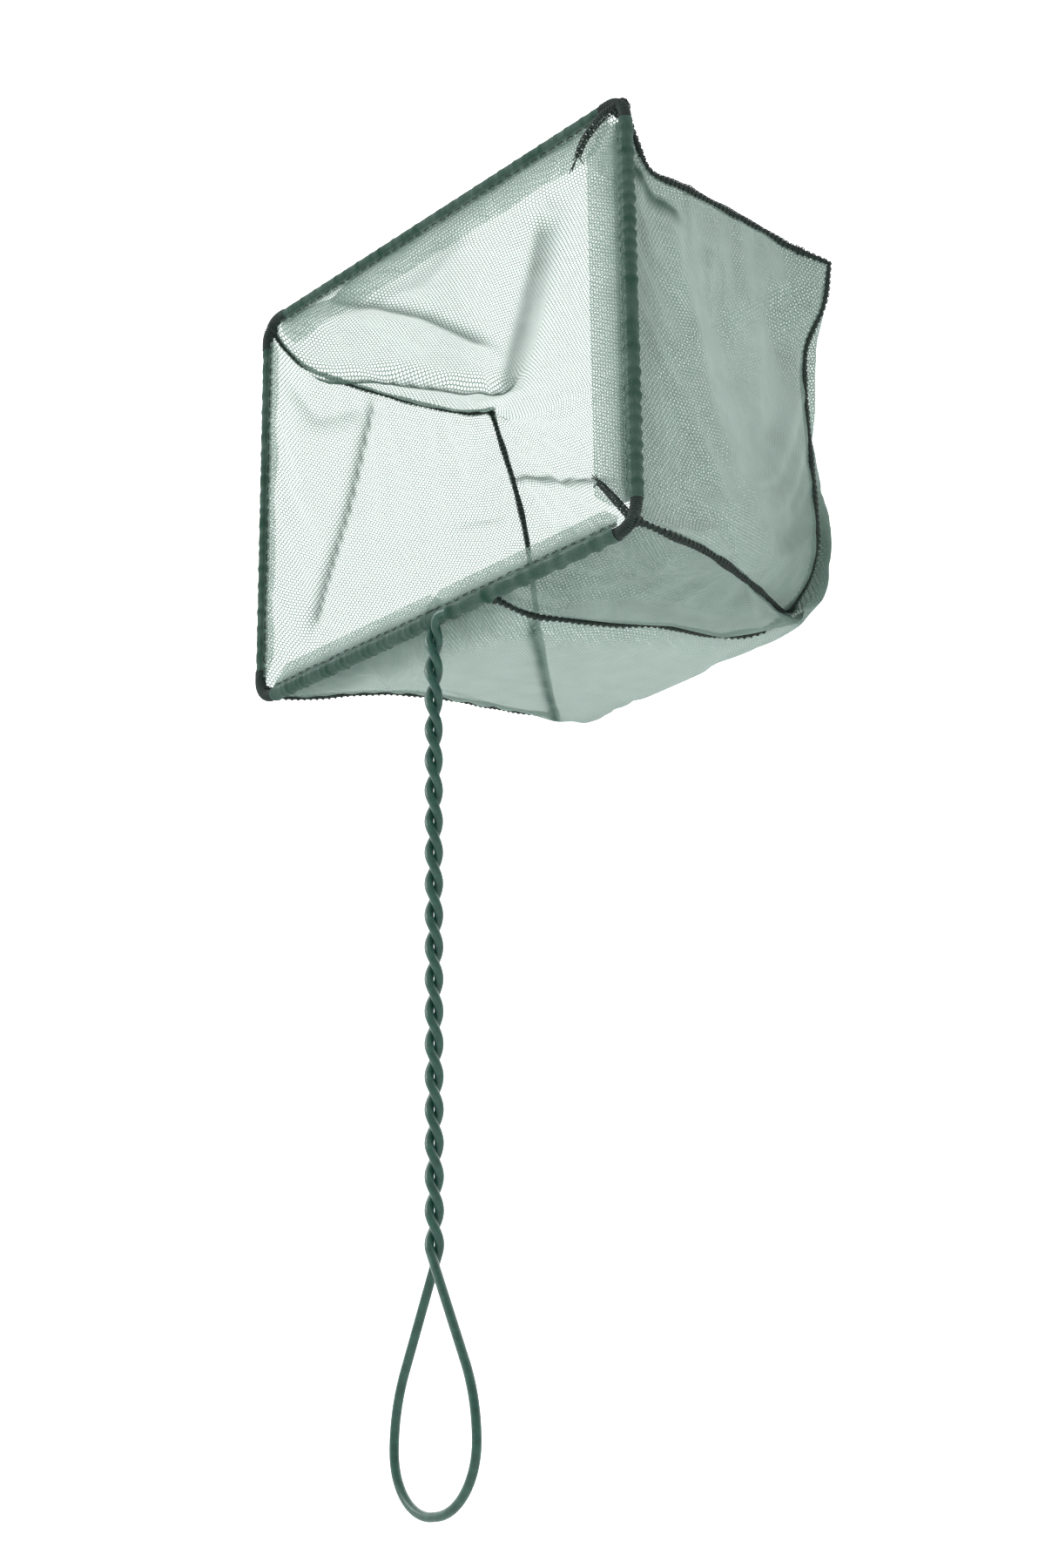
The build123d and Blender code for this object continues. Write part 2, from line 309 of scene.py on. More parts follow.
def wound_thread(line, radius, pitch, phase=0.0, turn=1, steps=10):
    """A thread wound round a line. radius is a number or one per point of the line."""
    points = np.asarray([tuple(p) for p in line], float)
    tangents = np.gradient(points, axis=0)
    tangents /= np.linalg.norm(tangents, axis=1)[:, None]
    side = np.cross(tangents[0], (0.31, 0.17, 0.93))
    sides = []
    for tangent in tangents:
        side = side - tangent * (side @ tangent)
        side = side / np.linalg.norm(side)
        sides.append(side)
    sides = np.array(sides)
    ups = np.cross(tangents, sides)
    run = run_lengths(points)
    at = np.linspace(0, run[-1], max(12, int(run[-1] / pitch * steps)))
    angle = turn * 2 * pi * at / pitch + phase
    wide = np.interp(at, run, np.broadcast_to(radius, len(points)))
    sideways = (np.cos(angle) * wide)[:, None] * at_runs(sides, run, at)
    upward = (np.sin(angle) * wide)[:, None] * at_runs(ups, run, at)
    return at_runs(points, run, at) + sideways + upward


# ---------------------------------------------------------------- wire

lay_angle = atan2(2 * pi * STRAND_RADIUS, (2 * BAR_Z - NECK_DROP) / TWIST_TURNS)
twist_top = BAR_Z - NECK_DROP * cos(lay_angle)


def hoop_half(side):
    """From the ferrule round one side of the hoop, along the bottom bar and down the neck."""
    start = Vector((side * STRAND_RADIUS, 0, twist_top))
    neck = start + Vector((0, -side * sin(lay_angle), cos(lay_angle))) * NECK_DROP
    corners = [(side * ferrule_high.x, 0, TOP_Z), (side * SIDE_X, 0, TOP_Z), (side * SIDE_X, 0, BAR_Z),
               (side * NECK_JOG_X, 0, BAR_Z), neck, start]
    return rounded(corners, [HOOP_CORNER, HOOP_CORNER, NECK_CORNER, NECK_BEND])


def twist_strand(side):
    """A left-hand helix, from the neck down to the crossing."""
    steps = round(TWIST_TURNS * 28)
    line = []
    for i in range(1, steps):
        angle = 2 * pi * TWIST_TURNS * i / steps + (0 if side > 0 else pi)
        z = twist_top + (CROSSING_Z - twist_top) * i / steps
        line.append(Vector((STRAND_RADIUS * cos(angle), STRAND_RADIUS * sin(angle), z)))
    return line


def hanging_loop():
    """The teardrop that the two strands open into below the crossing."""
    shoulder_z = CROSSING_Z - LOOP_HALF / tan(lay_angle)
    foot_radius = 0.95 * LOOP_HALF
    leg_radius = min(LOOP_LEG_RADIUS, 0.98 * (shoulder_z - LOOP_FOOT_Z - foot_radius) / tan(lay_angle / 2))
    near, far = -STRAND_RADIUS, STRAND_RADIUS
    corners = [(0, near, CROSSING_Z), (LOOP_HALF, near, shoulder_z), (LOOP_HALF, near, LOOP_FOOT_Z),
               (-LOOP_HALF, far, LOOP_FOOT_Z), (-LOOP_HALF, far, shoulder_z), (0, far, CROSSING_Z)]
    return rounded(corners, [leg_radius, foot_radius, foot_radius, leg_radius])


right_strand = hoop_half(1) + twist_strand(1)
left_strand = twist_strand(-1)[::-1] + hoop_half(-1)[::-1]
wire_line = right_strand + hanging_loop() + left_strand
round_piece("vinyl_wire", [wire_line], WIRE_RADIUS, VINYL, roundness=8,
            stands_for="pvc_coating")

# ---------------------------------------------------------------- the bag's seams

# Places across (-1 to 1), deep (0 at the hoop to 1 at the back) and high (0 at the foot to 1).
LEFT_SEAM = {
    "top": [(-0.985, 0.006, 0.985), (-0.985, 0.08, 0.94), (-0.98, 0.20, 0.91), (-0.94, 0.53, 0.903),
            (-0.90, 0.83, 0.915), (-0.905, 0.99, 0.955)],
    "back": [(-0.905, 0.99, 0.955), (-0.87, 1.0, 0.875), (-0.775, 1.0, 0.70), (-0.71, 1.0, 0.54),
             (-0.65, 1.0, 0.29), (-0.585, 1.0, 0.10), (-0.55, 0.99, 0.037)],
    "bottom": [(-0.55, 0.99, 0.037), (-0.60, 0.86, 0.036), (-0.605, 0.70, 0.029), (-0.63, 0.42, 0.015),
               (-0.73, 0.24, 0.007), (-0.88, 0.09, 0.0), (-0.985, 0.006, 0.015)],
}
RIGHT_SEAM = {
    "top": [(0.985, 0.006, 0.985), (0.995, 0.05, 0.90), (0.985, 0.12, 0.85), (0.967, 0.30, 0.86),
            (0.90, 0.68, 0.886), (0.885, 0.84, 0.885), (0.935, 0.99, 0.862)],
    "back": [(0.935, 0.99, 0.862), (0.886, 1.0, 0.77), (0.785, 1.0, 0.665), (0.784, 1.0, 0.465),
             (0.80, 1.0, 0.245), (0.76, 1.0, 0.128), (0.64, 1.0, 0.052)],
    "bottom": [(0.64, 1.0, 0.052), (0.76, 0.78, 0.035), (0.87, 0.56, 0.022), (0.965, 0.32, 0.01),
               (1.0, 0.15, 0.003), (0.985, 0.006, 0.015)],
}
DEPTH_CELLS = 60
HEIGHT_CELLS = 84
WIDTH_CELLS = 118
SEAM_CELLS = {"top": DEPTH_CELLS, "back": HEIGHT_CELLS, "bottom": DEPTH_CELLS}
BACK_ROW = DEPTH_CELLS
BOTTOM_ROW = DEPTH_CELLS + HEIGHT_CELLS


def bag_point(across, depth, height):
    return Vector((across * SIDE_X, depth * BAG_DEPTH, BAR_Z + height * HOOP_HEIGHT))


def seam_lines(seam):
    """The seam's three stretches, evenly divided."""
    return {part: smooth_line([bag_point(*p) for p in seam[part]], cells + 1)
            for part, cells in SEAM_CELLS.items()}


def whole_line(lines):
    return np.vstack([lines["top"], lines["back"][1:], lines["bottom"][1:]])


left_lines = seam_lines(LEFT_SEAM)
right_lines = seam_lines(RIGHT_SEAM)

# ---------------------------------------------------------------- folds in the cloth

# In millimetres: the line's places in the panel, how wide it is, how far it hangs in, and how much
# it doubles and darkens the cloth, partly doubled cloth and partly painted shade of the fold. Top and
# bottom panels are given across and deep, the back panel across and high, and the side panels deep
# and high, all from the bottom bar's middle.
TOP_FOLDS = [
    ([(30, 14), (20, 21), (-2, 36), (-26, 52), (-46, 65), (-52, 60)], 3.4, 3.5, 0.66),
    ([(-32, 60), (-40, 63), (-48, 61), (-55, 51), (-60, 34), (-70, 21), (-76, 12)], 1.5, 3.5, 1.0),
    ([(-50, -4), (-45, 2), (-36, 10), (-32, 24), (-32, 50)], 2.2, 2.4, 0.8),
    ([(-60, 2), (-20, 13), (10, 6)], 4.5, 1.2, 0.36),
    ([(74, 2), (60, 6), (50, 12)], 6.0, 1.0, 0.40),
]
BACK_FOLDS = [
    ([(-66, 86), (-44, 83), (-20, 77)], 1.1, 1.4, 0.85),
    ([(-50, 68), (-40, 64), (-32, 52)], 1.8, 1.0, 0.28),
]
LEFT_FOLDS = [
    ([(36, 104), (25, 64), (11, 20)], 1.1, 1.2, 0.8),
    ([(5, 101), (17, 90), (34, 98)], 2.4, 1.6, 0.32),
    ([(58, 66), (66, 69), (76, 71)], 1.0, 0.8, 0.30),
]
RIGHT_FOLDS = [
    ([(-4, 104), (2, 99), (10, 92), (24, 89)], 3.2, 1.0, 0.95),
    ([(46, 101), (58, 90), (68, 74), (73, 58)], 2.4, 1.6, 0.42),
    ([(30, 0), (38, 40), (33, 84)], 5.0, 1.5, 0.10),
]
BOTTOM_FOLDS = [
    ([(48, 78), (41.6, 75), (33.6, 67), (34.8, 47), (28.8, 34), (24.5, 23), (21, 14), (20, 3)],
     2.2, 3.5, 0.50),
    ([(-40, 76), (-36, 52), (-31.7, 32.5), (-34, 20)], 1.2, 0.6, 0.45),
    # No push: this line only darkens the cloth, a painted crease shade with no fold in the shape.
    ([(-46, 84), (-28.8, 66.8), (-17.6, 55.2), (6, 32), (24, 13)], 1.7, 0.0, 1.0),
]
NECK_GATHER = [(-6, 3), (30, 3)]
TUCK_SEAM = [(41.6, 75), (36, 67), (34.8, 47), (28.8, 34.4), (24.5, 23.3), (21.4, 14.4), (20, 3)]
FOLD_FADE = 9
PUSH_WIDENING = 1.8

# Pairs of a place and a value. Rows run 0 to 1 along the top, to 2 down the back, to 3 underneath.
RIGHT_PUFF = [(0.6, 0), (1, 3), (1.25, 6), (1.5, 4), (1.7, 6.5), (1.85, 7), (1.95, 11), (2.1, 9), (2.6, 0)]
LEFT_PUFF = [(0.6, 0), (1, 2), (1.8, 3), (1.95, 6), (2.0, 5), (2.2, 0)]
CROWN_HEIGHT = [(0, 114.8), (10, 114), (40, 112.5), (79, 111), (90, 110)]
TUCK_EDGE = [(4, 20), (14, 21.4), (23, 24.5), (34, 28.8), (47, 34.8), (67, 33.6), (75, 41.6), (79, 50)]

BACK_SWELL = 9.0 * MM
BOTTOM_SAG = 2.5
SIDE_SWELL = 4.5 * MM
PUFF_PEAK = 0.05


def from_pairs(x, pairs):
    return np.interp(x, *zip(*pairs))


def soft_step(x, start, end):
    t = np.clip((x - start) / (end - start), 0, 1)
    return t * t * (3 - 2 * t)


def closeness(across, along, line, width, crisp=1.0):
    """1 on a line in the panel's own plane, falling to 0 beside it and at its ends; width in
    millimetres. With crisp under 1 it falls faster on the line's left side than on its right."""
    here = np.stack([across, along], -1) / MM
    nearest = np.full(across.shape, 1e9)
    narrow = np.ones(across.shape)
    for a, b in zip(np.array(line[:-1], float), np.array(line[1:], float)):
        t = np.clip(((here - a) @ (b - a)) / ((b - a) @ (b - a)), 0, 1)
        off = here - a - t[..., None] * (b - a)
        far = np.linalg.norm(off, axis=-1)
        left = (b - a)[0] * off[..., 1] - (b - a)[1] * off[..., 0] > 0
        narrow = np.where(far < nearest, np.where(left, crisp, 2 - crisp), narrow)
        nearest = np.minimum(nearest, far)
    ends = [np.linalg.norm(here - np.array(end, float), axis=-1) for end in (line[0], line[-1])]
    fade = soft_step(ends[0], -2, FOLD_FADE) * soft_step(ends[1], -2, FOLD_FADE)
    return np.exp(-(nearest / (width * narrow)) ** 2) * fade


def folded(across, along, folds):
    """How far the folds push the cloth in, in metres, and how much they double it and darken it
    with painted fold shade.
    """
    push = np.zeros(across.shape)
    doubling = np.zeros(across.shape)
    for line, width, depth, doubled_and_shaded in folds:
        push += depth * MM * closeness(across, along, line, width * PUSH_WIDENING)
        # crisp 0.5: the painted fold shade falls off sharply on one side of the line and softly on the
        # other.
        doubling = np.maximum(doubling, doubled_and_shaded * closeness(across, along, line, width, 0.5))
    return push, doubling


def puffed(edge):
    """How far the strip stands out beside a seam: most at a twentieth of its width."""
    return edge / PUFF_PEAK * np.exp(1 - edge / PUFF_PEAK)


def body_shape(u, rows):
    """The strip without its folds: swelled at the back and beside the seams, sagging below."""
    left, right = whole_line(left_lines), whole_line(right_lines)
    grid = left[:, None] * (1 - u[..., None]) + right[:, None] * u[..., None]
    edge = np.minimum(u, 1 - u)
    full = 1 - np.exp(-(edge / 0.045) ** 1.3)
    top, bottom = np.clip(rows, 0, 1), np.clip(rows - 2, 0, 1)
    out = np.where(rows < 1, top ** 2, np.where(rows > 2, (1 - bottom) ** 2, 1.0))
    rise = np.where(rows > 2, -BOTTOM_SAG * np.sin(pi * bottom), 0.0)
    right_puff, left_puff = from_pairs(rows, RIGHT_PUFF), from_pairs(rows, LEFT_PUFF)
    grid[..., 0] += (right_puff * puffed(1 - u) - left_puff * puffed(u)) * MM
    grid[..., 1] += BACK_SWELL * out * full
    grid[..., 2] += rise * full * soft_step(u, 0, 0.45) * MM
    wide = 1 - np.exp(-(edge / 0.10) ** 1.6)
    crown = BAR_Z + from_pairs(grid[..., 1] / MM, CROWN_HEIGHT) * MM
    hold = np.clip(1 - 4 * (rows - 1), 0, 1) ** 2
    grid[..., 2] += (crown - grid[..., 2]) * wide * np.where(rows < 1, 1.0, hold * 0.6 * (rows < 1.25))
    return grid


def body_grid():
    """The strip that makes the bag's top, back and bottom: rows from the top bar round to the
    bottom bar, columns from the left seam to the right one."""
    u = np.linspace(0, 1, WIDTH_CELLS + 1)[None, :]
    depth_steps = np.linspace(0, 1, DEPTH_CELLS + 1)
    height_steps = np.linspace(0, 1, HEIGHT_CELLS + 1)
    rows = np.r_[depth_steps, 1 + height_steps[1:], 2 + depth_steps[1:]][:, None]
    grid = body_shape(u, rows)
    x, y, z = grid[..., 0], grid[..., 1], grid[..., 2] - BAR_Z
    push_top, top_doubling_and_painted_shade = folded(x, y, TOP_FOLDS)
    push_back, back_doubling_and_painted_shade = folded(x, z, BACK_FOLDS)
    push_bottom, bottom_doubling_and_painted_shade = folded(x, y, BOTTOM_FOLDS)
    is_top, is_bottom = rows <= 1, rows >= 2
    is_back = ~is_top & ~is_bottom
    # front_band: painted shade over the top panel's front left; the rest of the top is left lighter.
    front_band = soft_step(62 - (x / MM + 45) * 0.95 - y / MM, 0, 16)
    grid[..., 2] -= np.where(is_top, push_top, 0)
    grid[..., 1] -= np.where(is_back, push_back, 0)
    grid[..., 2] += np.where(is_bottom, push_bottom, 0)
    tuck = from_pairs(y / MM, TUCK_EDGE)
    # The bottom panel's painted shade: all of it a little darker, darker still beyond the tuck seam and at
    # its front left corner, and along a line by the neck.
    beyond_tuck = 0.36 * soft_step(x / MM, tuck - 1, tuck + 1) + 0.24
    front_left = 0.75 * soft_step(-y / MM, -20, -4) * soft_step(-x / MM, -38, -24)
    near_neck = np.maximum(front_left, 0.85 * closeness(x, y, NECK_GATHER, 6))
    # right_rim: painted shade in the back panel's lower right corner, where the back meets the right panel.
    right_rim = 0.75 * soft_step(u, 0.86, 0.96) * soft_step(rows, 1.3, 1.8)
    bottom_doubling_and_painted_shade = np.maximum(bottom_doubling_and_painted_shade, np.maximum(beyond_tuck, near_neck))
    doubling = np.where(is_top, np.maximum(top_doubling_and_painted_shade, 0.04 + 0.12 * front_band), 0.0)
    doubling = np.where(is_back, np.maximum(back_doubling_and_painted_shade, right_rim), doubling)
    return grid, np.where(is_bottom, bottom_doubling_and_painted_shade, doubling)


def side_grid(lines, side, folds):
    """A side wall: rows from the top seam to the bottom seam, columns from the hoop to the back."""
    top, bottom, back = lines["top"], lines["bottom"][::-1], lines["back"]
    front = smooth_line([top[0], (top[0] + bottom[0]) / 2, bottom[0]], HEIGHT_CELLS + 1)
    s = np.linspace(0, 1, DEPTH_CELLS + 1)[None, :, None]
    t = np.linspace(0, 1, HEIGHT_CELLS + 1)[:, None, None]
    grid = (1 - t) * top[None] + t * bottom[None] + (1 - s) * front[:, None] + s * back[:, None]
    grid -= ((1 - s) * (1 - t) * top[0] + s * (1 - t) * top[-1]
             + (1 - s) * t * bottom[0] + s * t * bottom[-1])
    s, t = s[..., 0], t[..., 0]
    edge = np.sin(pi * s) ** 0.6 * np.sin(pi * t) ** 0.6
    grid[..., 0] += side * SIDE_SWELL * edge
    y, z = grid[..., 1], grid[..., 2] - BAR_Z
    push, doubling = folded(y, z, folds)
    grid[..., 0] -= side * push
    # The right panel, whose outside faces away from the light, gets painted shade: darker all over, more
    # towards its low back corner and next to the bar.
    if side > 0:
        corner = 0.30 * soft_step(y / MM, 30, 72) * soft_step(-z / MM, -62, -20)
        by_the_bar = 0.12 * soft_step(-y / MM, -12, -3)
        doubling = np.maximum(doubling, 0.40 + corner + by_the_bar)
    return grid, doubling


def bag_mesh():
    """One welded bag: vertices, their doubling and painted shade, each panel's grid of vertices, and which
    are sewn.
    """
    body, body_doubling_and_painted_shade = body_grid()
    rows, columns = body.shape[:2]
    verts, doubling = list(body.reshape(-1, 3)), list(body_doubling_and_painted_shade.ravel())
    strip = np.arange(rows * columns).reshape(rows, columns)
    index = {"body_panel": strip}
    for name, lines, side, folds in (("left_panel", left_lines, -1, LEFT_FOLDS),
                                     ("right_panel", right_lines, 1, RIGHT_FOLDS)):
        grid, side_doubling_and_painted_shade = side_grid(lines, side, folds)
        ids = -np.ones(grid.shape[:2], int)
        edge = strip[:, 0 if side < 0 else -1]
        ids[0, :] = edge[:BACK_ROW + 1]
        ids[:, -1] = edge[BACK_ROW:BOTTOM_ROW + 1]
        ids[-1, :] = edge[BOTTOM_ROW:][::-1]
        for row, column in np.argwhere(ids < 0):
            ids[row, column] = len(verts)
            verts.append(grid[row, column])
            doubling.append(side_doubling_and_painted_shade[row, column])
        index[name] = ids
    sewn = [strip[0], strip[-1], strip[:, 0], strip[:, -1],
            index["left_panel"][:, 0], index["right_panel"][:, 0]]
    return np.array(verts), np.array(doubling), index, np.unique(np.concatenate(sewn))


def grid_faces(ids, flip):
    faces = []
    for row in range(ids.shape[0] - 1):
        for column in range(ids.shape[1] - 1):
            face = (ids[row, column], ids[row, column + 1], ids[row + 1, column + 1], ids[row + 1, column])
            faces.append(tuple(int(i) for i in (face[::-1] if flip else face)))
    return faces


FLIP = {"body_panel": False, "left_panel": False, "right_panel": True}
SETTLE_SCALE = 10
SETTLE_FRAMES = 20
SPARE_CLOTH = 0.025
SETTLE_CAP = 3.5 * MM
CLOTH_SETTINGS = {
    "quality": 6, "mass": 0.15, "tension_stiffness": 25, "compression_stiffness": 25,
    "shear_stiffness": 6, "bending_stiffness": 0.6, "air_damping": 2, "shrink_min": -SPARE_CLOTH,
}
CLOTH_GRAVITY = 0.25


def settle(verts, index, sewn):
    """The netting settles at ten times its size: a little spare cloth buckles and sags."""
    faces = [f for name, ids in index.items() for f in grid_faces(ids, FLIP[name])]
    mesh = bpy.data.meshes.new("settling")
    mesh.from_pydata([tuple(v) for v in verts * SETTLE_SCALE], [], faces)
    cloth = bpy.data.objects.new("settling", mesh)
    bpy.context.scene.collection.objects.link(cloth)
    group = cloth.vertex_groups.new(name="sewn")
    group.add([int(i) for i in sewn], 1.0, "REPLACE")
    pick(cloth)
    modifier = cloth.modifiers.new("cloth", "CLOTH")
    for setting, value in CLOTH_SETTINGS.items():
        setattr(modifier.settings, setting, value)
    modifier.settings.vertex_group_mass = "sewn"
    modifier.settings.effector_weights.gravity = CLOTH_GRAVITY
    modifier.point_cache.frame_end = SETTLE_FRAMES
    for number in range(1, SETTLE_FRAMES + 1):
        bpy.context.scene.frame_set(number)
    bpy.ops.object.modifier_apply(modifier="cloth")
    settled = np.zeros(len(verts) * 3)
    cloth.data.vertices.foreach_get("co", settled)
    bpy.data.objects.remove(cloth)
    bpy.context.scene.frame_set(1)
    moved = settled.reshape(-1, 3) / SETTLE_SCALE - verts
    far = np.linalg.norm(moved, axis=1)[:, None]
    return verts + moved * np.minimum(1, SETTLE_CAP / np.maximum(far, 1e-9))


def area_of(grid):
    a = grid[1:, :-1] - grid[:-1, :-1]
    b = grid[:-1, 1:] - grid[:-1, :-1]
    return float(np.linalg.norm(np.cross(a, b), axis=2).sum())


def cloth_piece(name, grid, doubling, flip, stands_for, finer=True, laid_out=None):
    """A sheet of netting from a grid of points, with its places on the flat cloth as its UVs.
    Those are measured on the grid as it was laid out, where the cloth has settled since."""
    rest = grid if laid_out is None else laid_out
    v = np.r_[0, np.cumsum(np.linalg.norm(np.diff(rest, axis=0), axis=2).mean(1))]
    u = np.r_[0, np.cumsum(np.linalg.norm(np.diff(rest, axis=1), axis=2).mean(0))]
    mesh = bpy.data.meshes.new(name)
    ids = np.arange(grid.shape[0] * grid.shape[1]).reshape(grid.shape[:2])
    mesh.from_pydata([tuple(p) for p in grid.reshape(-1, 3)], [], grid_faces(ids, flip))
    layer = mesh.uv_layers.new(name="flat_cloth")
    corner_verts = np.zeros(len(mesh.loops), int)
    mesh.loops.foreach_get("vertex_index", corner_verts)
    flat = np.stack(np.meshgrid(u, v), axis=2).reshape(-1, 2)
    layer.data.foreach_set("uv", flat[corner_verts].ravel())
    mesh.attributes.new("doubling", "FLOAT", "POINT").data.foreach_set("value", doubling.ravel())
    mesh.materials.append(NETTING)
    mesh.polygons.foreach_set("use_smooth", [True] * len(mesh.polygons))
    piece = bpy.data.objects.new(name, mesh)
    bpy.context.scene.collection.objects.link(piece)
    if finer:
        pick(piece)
        modifier = piece.modifiers.new("finer", "SUBSURF")
        modifier.levels = modifier.render_levels = 1
        bpy.ops.object.modifier_apply(modifier="finer")
    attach(piece, "root")
    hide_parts(stands_for)
    min(area_of(rest), float(u[-1] * v[-1]))


def build_bag():
    """Make the three panels, and return where the strip's cloth ends up."""
    verts, doubling, index, sewn = bag_mesh()
    settled = settle(verts, index, sewn)
    for name, ids in index.items():
        cloth_piece(name + "_netting", settled[ids], doubling[ids], FLIP[name],
                    name, laid_out=verts[ids])
    return settled[index["body_panel"]]


body_surface = build_bag()

# ---------------------------------------------------------------- hems

CORNER_MARGIN = HOOP_CORNER + 0.5 * MM
NECK_OVERLAP = 3 * MM
LEFT_STOP, RIGHT_STOP = -SIDE_X + CORNER_MARGIN, SIDE_X - CORNER_MARGIN
LOW_STOP, HIGH_STOP = BAR_Z + CORNER_MARGIN, TOP_Z - CORNER_MARGIN
SNUG = 1.32 * MM
LOOSE = 1.85 * MM

# Where a hem starts and ends, the way in, its radius, and its free ply's depth, lean and doubling.
Hem = namedtuple("Hem", "start end inward casing flap lean flap_doubling")
HEMS = {
    "top_hem": Hem((LEFT_STOP, TOP_Z), (RIGHT_STOP, TOP_Z), (0, -1), SNUG, 9 * MM, 0.15, 0.0),
    "left_hem": Hem((-SIDE_X, LOW_STOP), (-SIDE_X, HIGH_STOP), (1, 0), SNUG, 4 * MM, 0.15, 0.0),
    "right_hem": Hem((SIDE_X, HIGH_STOP), (SIDE_X, LOW_STOP), (-1, 0), LOOSE, 11 * MM, -0.1, 0.0),
    "bottom_hem_left": Hem((NECK_OVERLAP, BAR_Z), (LEFT_STOP, BAR_Z), (0, 1), LOOSE, 6 * MM, 0.15, 0.15),
    "bottom_hem_right": Hem((RIGHT_STOP, BAR_Z), (-NECK_OVERLAP, BAR_Z), (0, 1), LOOSE, 6 * MM, 0.15, 0.15),
}
CASING_ROWS = 15
FLAP_ROWS = 7
STITCH_PITCH = 3.4 * MM
STITCH_LENGTH = 2.4 * MM
STITCH_INSET = 0.7 * MM
# One stitch: how far along it, and how far off the cloth in millimetres.
STITCH_SHAPE = [(-0.5, -0.1), (-0.3, 0.18), (0, 0.25), (0.3, 0.18), (0.5, -0.1)]


def ripples(run, heights, shortest, longest, rng):
    """Uneven waves along a run: sines with random lengths, in millimetres, and phases."""
    lengths = rng.uniform(shortest, longest, len(heights))
    phases = rng.uniform(0, 6, len(heights))
    return sum(h * np.sin(2 * pi * run / (w * MM) + p) for h, w, p in zip(heights, lengths, phases))


def hem_cloth(hem, centre, run, inward, away, rng):
    """The netting's edge, gathered round the bar and turned in as a single free ply."""
    length = run[-1]
    gathers = ripples(run, (0.10, 0.07, 0.06), 1.8, 7, rng)
    waves = ripples(run, (0.5, 0.35, 0.2), 8, 34, rng)
    taper = np.minimum(1, np.minimum(run, length - run) / (5 * MM))
    on_ferrule = (np.abs(centre[:, 0]) < ferrule_high.x + 1 * MM) & (centre[:, 2] > TOP_Z - 1 * MM)
    over = np.where(on_ferrule, ferrule_high.z - TOP_Z + 0.12 * MM, WIRE_RADIUS + 0.05 * MM)
    rows, doubling = [], []
    for angle in np.linspace(radians(40), radians(345), CASING_ROWS):
        radius = np.maximum(hem.casing * (1 + gathers * (0.6 + 0.4 * np.sin(3 * angle))), over)
        rows.append(centre + radius[:, None] * (cos(angle) * inward + sin(angle) * away))
        doubling.append(0.85 + 0.3 * gathers)
    for i in range(1, FLAP_ROWS + 1):
        share = i / FLAP_ROWS
        reach = hem.casing + hem.flap * share * (0.45 + 0.55 * taper) * (1 + 0.05 * waves)
        lean = -0.25 * hem.casing + hem.lean * hem.flap * share + 0.5 * MM * waves * share
        rows.append(centre + reach[:, None] * inward + lean[:, None] * away)
        # The free ply's tone: darkest next to the bar, clearing towards its edge to below the plain
        # netting's haze; a painted shade that softens the ply's edge.
        flap_shade_fade = 0.58 - 1.25 * (i - 1) / (FLAP_ROWS - 1)
        doubling.append((0.8 if i == 1 else hem.flap_doubling + flap_shade_fade) + 0.16 * waves * share)
    return np.array(rows), np.clip(np.array(doubling), -0.9, 1)


def hem_stitches(hem, start, end, inward, away, rng):
    """A row of stitches just inside the bar, on both faces of the cloth."""
    length = (end - start).length
    along = np.array((end - start).normalized())
    stitches = []
    for i in range(int(length / STITCH_PITCH)):
        middle = np.array(start + (end - start) * ((i + 0.5) * STITCH_PITCH / length))
        for face in (-1, 1):
            stitches.append([middle + along * STITCH_LENGTH * f
                             + inward * (hem.casing + STITCH_INSET + 0.15 * MM * rng.normal())
                             + away * face * (0.22 + off) * MM for f, off in STITCH_SHAPE])
    return stitches


def build_hem(name, hem, seed):
    rng = np.random.default_rng(seed)
    start, end = [Vector((place[0], 0, place[1])) for place in (hem.start, hem.end)]
    length = (end - start).length
    t = np.linspace(0, 1, round(length / (0.6 * MM)) + 1)
    centre = np.array(start)[None] + t[:, None] * np.array(end - start)[None]
    inward = np.array((hem.inward[0], 0, hem.inward[1]), float)
    away = np.array((0, 1.0, 0))
    rows, doubling = hem_cloth(hem, centre, t * length, inward, away, rng)
    cloth_piece(name + "_casing", rows, doubling, True, name, finer=False)
    round_piece(name + "_lockstitch", hem_stitches(hem, start, end, inward, away, rng), 0.14 * MM,
                DARK_THREAD, stands_for=name + "_stitches")


for number, (hem_name, hem) in enumerate(HEMS.items()):
    build_hem(hem_name, hem, number)

# ---------------------------------------------------------------- sewn seams, knots and tails

SEAM_THREAD = 0.15 * MM
SEAM_PITCH = 1.7 * MM
KNOT_SPREAD = 1.4 * MM
SEAM_DROP = 0.7 * MM


def build_seam(name, line, knots, wrap, core):
    """A rolled edge with two threads wound round it, thicker where it is knotted."""
    run = run_lengths(line)
    swell = 1 + 0.12 * np.sin(run / (3.7 * MM)) + 0.08 * np.sin(run / (1.9 * MM) + 1)
    for knot, size in knots:
        swell += size * np.exp(-((run - knot * run[-1]) / KNOT_SPREAD) ** 2)
    round_piece(name + "_roll", [line], core, DARK_THREAD, roundness=2, swell=swell)
    threads = [wound_thread(line, wrap * swell, SEAM_PITCH, phase, turn)
               for phase, turn in ((0, 1), (1.3, -1))]
    round_piece(name + "_overlock", threads, SEAM_THREAD, DARK_THREAD, roundness=0,
                stands_for=name)


def under_the_bag(x, y):
    """The place just below the bottom panel's cloth."""
    foot = body_surface[BOTTOM_ROW:].reshape(-1, 3)
    nearest = foot[np.argmin((foot[:, 0] - x) ** 2 + (foot[:, 1] - y) ** 2)]
    return Vector((x, y, nearest[2] - SEAM_DROP))


